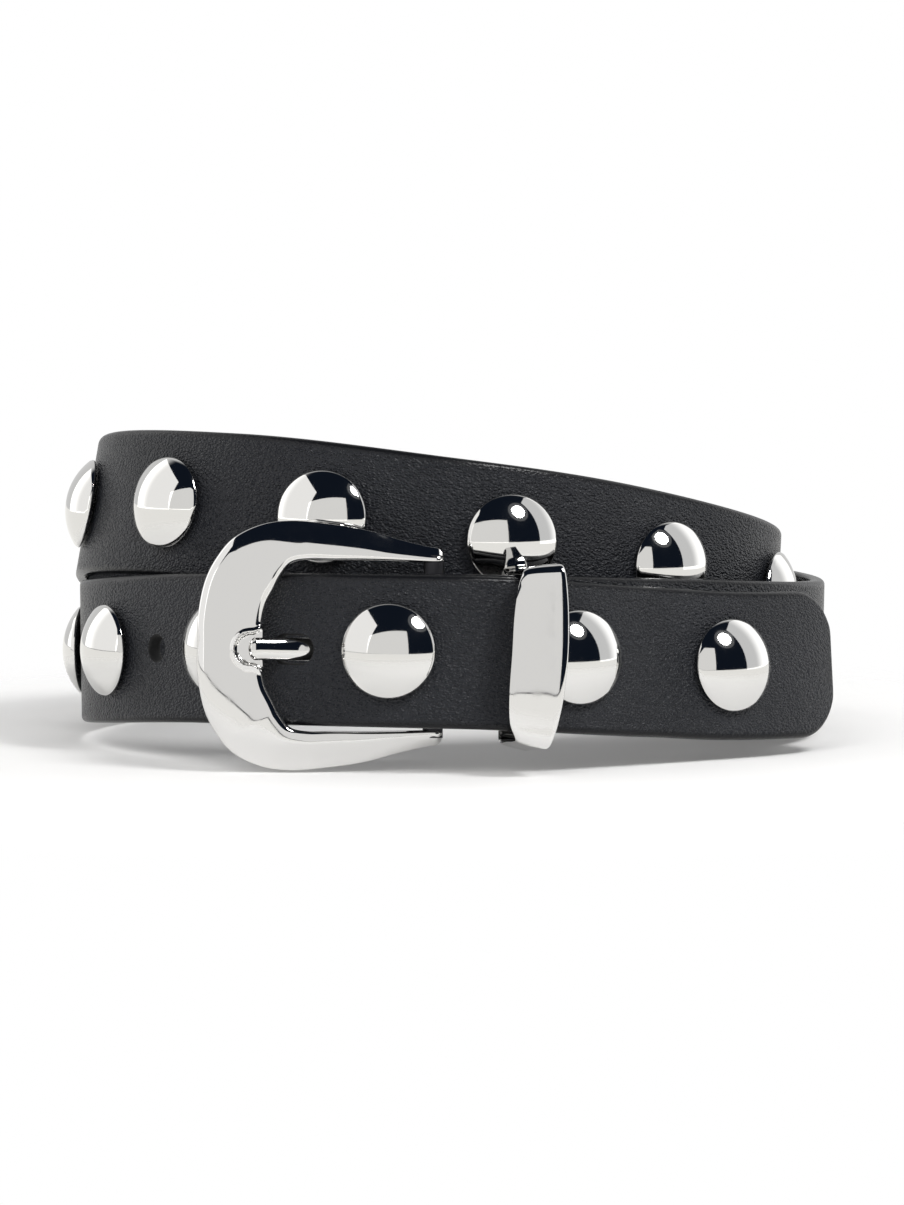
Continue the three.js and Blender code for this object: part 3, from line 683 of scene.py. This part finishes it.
notch_round = 3.0
front_share = 0.6
back_share = 0.4
frame_front = front_share * frame_depth
tongue_y = -frame_front + tongue_thick / 2 + gap
notch_floor = tongue_y + tongue_thick / 2 + gap
section_points = 208
frame_skew = 0.42


def in_buckle(points):
    """Points from the buckle's own axes, x to the right, y into the coil and z up the bar."""
    return buckle_origin + points[..., :1] * buckle_x + points[..., 1:2] * buckle_y + points[..., 2:] * bar_up


def horseshoe_surface():
    """A rounded section carried round the horseshoe: at each station it spans from the outer to the
    inner edge, bulges forward as a power of the sine of the way round it, and backward less. Its
    crown is moved towards the inner edge by a share of one less the square of the place across. On
    the horns the front falls from the crown to the outer edge nearly in a straight line."""
    both = np.concatenate([horseshoe[:0:-1] * (1, -1, 1, -1, 1), horseshoe])
    last = len(horseshoe) - 1
    at = np.arange(len(both)) - last
    stations = np.concatenate([
        -np.linspace(last, 1.0, 110), np.linspace(-1.0, 1.0, 121)[1:-1], np.linspace(1.0, last, 110)
    ])
    out_x, out_z, in_x, in_z, deep = smooth_rows(at, both, stations).T
    deep = np.clip(deep, 0.05, None)
    outer = np.stack([frame_left + out_x * frame_width, 0 * out_x, out_z * frame_height / 2], -1)
    inner_x = frame_left + spine_width + in_x * (frame_width - spine_width)
    inner = np.stack([inner_x, 0 * in_x, in_z * opening_height / 2], -1)
    centre, half = (outer + inner) / 2, (inner - outer) / 2
    t = 2 * np.pi * (np.arange(section_points) + 0.5) / section_points
    bend = np.where(np.cos(t) > 0, 0.62, 0.86)
    across = np.sign(np.cos(t)) * np.abs(np.cos(t)) ** bend
    across = across + np.where(np.sin(t) < 0, frame_skew * (1 - across**2), 0)
    sine = np.abs(np.sin(t))
    depth = np.where(np.sin(t) > 0, back_share * sine**0.6, -front_share * sine**0.80)
    fall = np.clip((frame_skew - across) / (1 + frame_skew), 0, 1)
    ramp = np.clip(1 - 0.80 * fall, 0.02, 1)
    steep = (ramp**-5.0 + np.clip(np.abs(depth) / front_share, 0.02, 1) ** -5.0) ** -0.2 * front_share
    horn = np.clip((np.abs(stations) - 3.5) / 2.5, 0, 1)[:, None]
    depth = np.where(np.sin(t) < 0, -(np.abs(depth) * (1 - horn) + steep * horn), depth)
    points = centre[:, None] + across[None, :, None] * half[:, None]
    points = points + np.stack([0 * depth, depth * deep[:, None] * frame_depth, 0 * depth], -1)
    # The notch: outside of its rounded outline the front swells into a low lip, and inside of it the
    # front drops to the notch's floor.
    x, y, z = points[..., 0], points[..., 1], points[..., 2] + strap_drop
    reach = notch_left + notch_round
    edge_x = frame_left + spine_width
    flare = 0.9 * np.exp(-(((x - edge_x) / 1.1) ** 2))
    away = np.where(x < reach, np.hypot(x - reach, z), np.abs(z)) - notch_round - flare
    front = (depth < 0) & (np.abs(stations)[:, None] < 2.5)
    lip = 0.45 * np.exp(-(((away - 0.42) / 0.50) ** 2)) * np.clip((edge_x + 0.2 - x) / 0.8, 0, 1)
    sink = np.clip(0.5 - away / 0.55, 0, 1)
    sink = sink * sink * (3 - 2 * sink)
    lowered = y - lip * np.clip(1.2 - np.abs(y + frame_front) / frame_front, 0, 1)
    floor_y = np.maximum(lowered, notch_floor)
    y = np.where(front, lowered * (1 - sink) + floor_y * sink, y)
    return np.stack([x, y, z - strap_drop], -1)


surface = horseshoe_surface()
cap_share = np.array([0.82, 0.5, 0.2])
ends = []
for ring, step in ((surface[0], surface[0] - surface[1]), (surface[-1], surface[-1] - surface[-2])):
    mean = ring.mean(0)
    push = unit(step.mean(0))
    ends.append(np.stack([
        mean + (ring - mean) * c + push * (0.35 * math.sqrt(1 - c * c)) for c in cap_share
    ]))
surface = np.concatenate([ends[0][::-1], surface, ends[1]])
faces = tube_faces(*surface.shape[:2])
rod_reach = opening_height / 2 + 1.2
rod_t = np.linspace(0, 2 * np.pi, 33)[:-1]
rod_z = np.array([-rod_reach, rod_reach])
rod_shape = (len(rod_z), len(rod_t))
rod = np.stack([
    np.broadcast_to(bar_thick / 2 * np.cos(rod_t), rod_shape),
    np.broadcast_to(bar_thick / 2 * np.sin(rod_t), rod_shape),
    np.broadcast_to(rod_z[:, None], rod_shape),
], -1)
start = len(surface) * surface.shape[1]
rod_faces = tube_faces(*rod_shape)
faces += [[start + v for v in f] for f in rod_faces]
both_points = np.concatenate([surface.reshape(-1, 3), rod.reshape(-1, 3)])
buckle = make_piece("horseshoe_frame", in_buckle(both_points), faces)
recalculate(buckle)
buckle.data.set_sharp_from_angle(angle=math.radians(60))

plate = polish.copy()
plate.name = "polished_cast_zinc"
plate.node_tree.nodes["Principled BSDF"].inputs["Base Color"].default_value = (0.73, 0.725, 0.715, 1)
buckle.data.materials.append(plate)
# The bar's near-black colour is painted shade: it stands in for the dark on the bar between the strap's edges
# and the horns. Its roughness varies with small scuffs.
bar_painted_shade = bpy.data.materials.new("bar_painted_dark_as_shade")
bar_painted_shade.use_nodes = True
tree = bar_painted_shade.node_tree
shader = tree.nodes["Principled BSDF"]
shader.inputs["Metallic"].default_value = 1
shader.inputs["Base Color"].default_value = (0.045, 0.045, 0.05, 1)
pin_place = tree.nodes.new("ShaderNodeTexCoord")
scuffs = tree.nodes.new("ShaderNodeTexNoise")
scuffs.inputs["Scale"].default_value = 900
scuffs.inputs["Detail"].default_value = 4
dull = tree.nodes.new("ShaderNodeMapRange")
dull.inputs["To Min"].default_value = 0.35
dull.inputs["To Max"].default_value = 0.6
tree.links.new(pin_place.outputs["Object"], scuffs.inputs["Vector"])
tree.links.new(scuffs.outputs["Fac"], dull.inputs["Value"])
tree.links.new(dull.outputs["Result"], shader.inputs["Roughness"])
buckle.data.materials.append(bar_painted_shade)
for face in buckle.data.polygons[-len(rod_faces):]:
    face.material_index = 1
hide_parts("buckle_frame")
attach(buckle, "root")

# The tongue is a bent steel rod, flattened at the back. Its eye turns on the bar, and it runs behind
# the tip's strap, comes out through the hole and lies with its rounded end in the spine's notch.
before = (strap_thick + tongue_thick) / 2 + gap
behind = -before


def on_strap(s, q):
    """A point off the strap's middle by q, brought into the buckle's axes at the tongue's height."""
    middle, normal, _ = (v[0] for v in strap_at(s))
    p = middle + normal * q - buckle_origin
    return np.array([p @ buckle_x, p @ buckle_y, -strap_drop])


knots = np.array([
    (-(bar_thick / 2 + gap + tongue_thick / 2), 0.1, -strap_drop),
    on_strap(first_hole - hole_wide * 2.1, behind - 0.6),
    on_strap(first_hole - hole_wide * 0.95, behind - 0.6),
    on_strap(first_hole + hole_wide * 0.08, -0.6),
    on_strap(first_hole + hole_wide * 0.85, before),
    (tongue_tip, tongue_y, -strap_drop),
])
chord = np.concatenate([[0], np.cumsum(np.sqrt(np.linalg.norm(np.diff(knots, axis=0), axis=1)))])
path = smooth_rows(chord, knots, np.linspace(0, chord[-1], 150))
path_run = unit(np.gradient(path, axis=0))
path_side = unit(np.stack([path_run[:, 1], -path_run[:, 0], 0 * path_run[:, 0]], -1))
t = np.linspace(0, 2 * np.pi, 41)[:-1]
wide = np.sign(np.cos(t)) * np.abs(np.cos(t)) ** 0.95 * tongue_wide / 2
thick = np.sign(np.sin(t)) * np.abs(np.sin(t)) ** 0.95 * tongue_thick / 2
tongue_end_round = 1.5
to_end = np.linalg.norm(path - path[-1], axis=1)
shrink = np.sqrt(np.clip(1 - (1 - np.clip(to_end / tongue_end_round, 0, 1)) ** 2, 0.0, 1))
shrink = np.maximum(shrink, 0.03)
points = (
    path[:, None]
    + (shrink[:, None] * thick[None])[..., None] * path_side[:, None]
    + (shrink[:, None] * wide[None])[..., None] * np.array([0, 0, 1.0])
)
faces = tube_faces(len(path), len(t))
eye_t = np.linspace(0, 2 * np.pi, 49)[:-1]
eye_r = np.array([2.3, 2.3, 3.8, 4.1, 4.1, 3.8])
eye_w = np.array([0.5, -0.5, -0.5, -0.42, 0.42, 0.5]) * tongue_wide
eye_shape = (len(eye_r), len(eye_t))
eye = np.stack([
    eye_r[:, None] * np.cos(eye_t), eye_r[:, None] * np.sin(eye_t),
    np.broadcast_to(eye_w[:, None] - strap_drop, eye_shape),
], -1)
start = len(path) * len(t)
faces += [[start + v for v in f] for f in grid_faces(*eye_shape, round_rows=True, round_columns=True)]
both_points = np.concatenate([points.reshape(-1, 3), eye.reshape(-1, 3)])
tongue = make_piece("bent_tongue", in_buckle(both_points), faces)
recalculate(tongue)
tongue.data.set_sharp_from_angle(angle=math.radians(60))
tongue.data.materials.append(polish)
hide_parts("buckle_tongue")
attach(tongue, "root")

# The keeper is a deep loop of the same polished metal, past the buckle. Its front plate is domed and
# stands clear of the stud's edge that it covers, and a narrower band closes it over and behind.
keeper_wide = 11
keeper_from_stud = 10.3
keeper_turn = -math.radians(6)
keeper_drop = 0.3
keeper_skew = 0.49
plate_thick = 2.2
plate_crown = 1.6
band_thick = 1.7
band_wide = 0.94
keeper_at = tip_beyond_stud + stud_pitch + keeper_from_stud
keeper_middle, keeper_normal, keeper_up = (v[0] for v in strap_at(keeper_at))
keeper_side = np.cross(keeper_up, keeper_normal)
keeper_normal = math.cos(keeper_turn) * keeper_normal + math.sin(keeper_turn) * keeper_side
keeper_side = np.cross(keeper_normal, keeper_up)
back_in = -(2.3 * ply + strap_thick / 2 + 0.45)
front_in = strap_thick / 2 + stud_seat + stud_height + gap
side_in = strap_width / 2 + 1.4 + 0.15
deep = front_in - back_in
loop_rows = [
    # side, at, wide, shift: shares of the side's reach and of the keeper's width
    ("front", -0.97, 0.62, -0.02), ("front", -0.8, 0.84, -0.03), ("front", -0.45, 0.97, -0.01),
    ("front", 0, 1, 0.02), ("front", 0.45, 0.97, 0.03), ("front", 0.8, 0.86, 0.05),
    ("front", 0.97, 0.72, 0.07), ("top", 0.85, 0.6, 0.07), ("top", 0.4, 0.52, 0.05),
    ("top", 0, 0.5, 0.03), ("back", 0.9, 0.5, 0), ("back", 0, 0.5, 0), ("back", -0.9, 0.5, 0),
    ("foot", 0, 0.5, 0), ("foot", 0.4, 0.5, -0.01), ("foot", 0.85, 0.54, -0.02),
]
made = []
for side, at, wide_share, shift in loop_rows:
    if side == "front":
        p = (front_in + plate_crown * (1 - at * at), at * side_in)
        out = (1, at * 0.5 + (math.copysign(0.7, at) if abs(at) > 0.9 else 0))
    elif side == "back":
        p = (back_in, at * side_in)
        out = (-1, math.copysign(1, at) if abs(at) > 0.5 else 0)
    else:
        s = 1 if side == "top" else -1
        p = (back_in + deep * (0.06 + 0.9 * at), s * side_in)
        out = (0.35 if at > 0.8 else 0, s)
    size = math.hypot(*out)
    thick_here = plate_thick if side == "front" else band_thick
    made.append((
        *p, out[0] / size, out[1] / size, thick_here, keeper_wide * wide_share / 2, keeper_wide * shift
    ))
made = np.array(made)
again = np.concatenate([made[-2:], made, made[:3]])
knot = np.concatenate([[0], np.cumsum(np.linalg.norm(np.diff(again[:, :2], axis=0), axis=1) ** 0.7)])
loop = smooth_rows(knot, again, np.linspace(knot[2], knot[2 + len(made)], 221)[:-1])
out = unit(loop[:, 2:4])
a = np.linspace(-1, 1, 33)
bulge = (1 - np.abs(a) ** 3) ** 0.5
across = np.concatenate([a + keeper_skew * (1 - a * a), np.linspace(band_wide, -band_wide, 9)])
raise_by = np.concatenate([0.16 + 0.84 * bulge * (1 + 0.4 * a) / 1.15, np.zeros(9)])
points = (
    keeper_middle
    - (loop[:, 6:7] + across[None] * loop[:, 5:6])[..., None] * keeper_side
    + (loop[:, 0:1] + out[:, 0:1] * raise_by[None] * loop[:, 4:5])[..., None] * keeper_normal
    + (loop[:, 1:2] + out[:, 1:2] * raise_by[None] * loop[:, 4:5] - keeper_drop)[..., None] * keeper_up
)
loop_faces = grid_faces(*points.shape[:2], round_rows=True, round_columns=True)
keeper = make_piece("domed_keeper", points, loop_faces)
recalculate(keeper)
keeper.data.set_sharp_from_angle(angle=math.radians(60))
keeper.data.materials.append(plate)
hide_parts("keeper")
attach(keeper, "root")
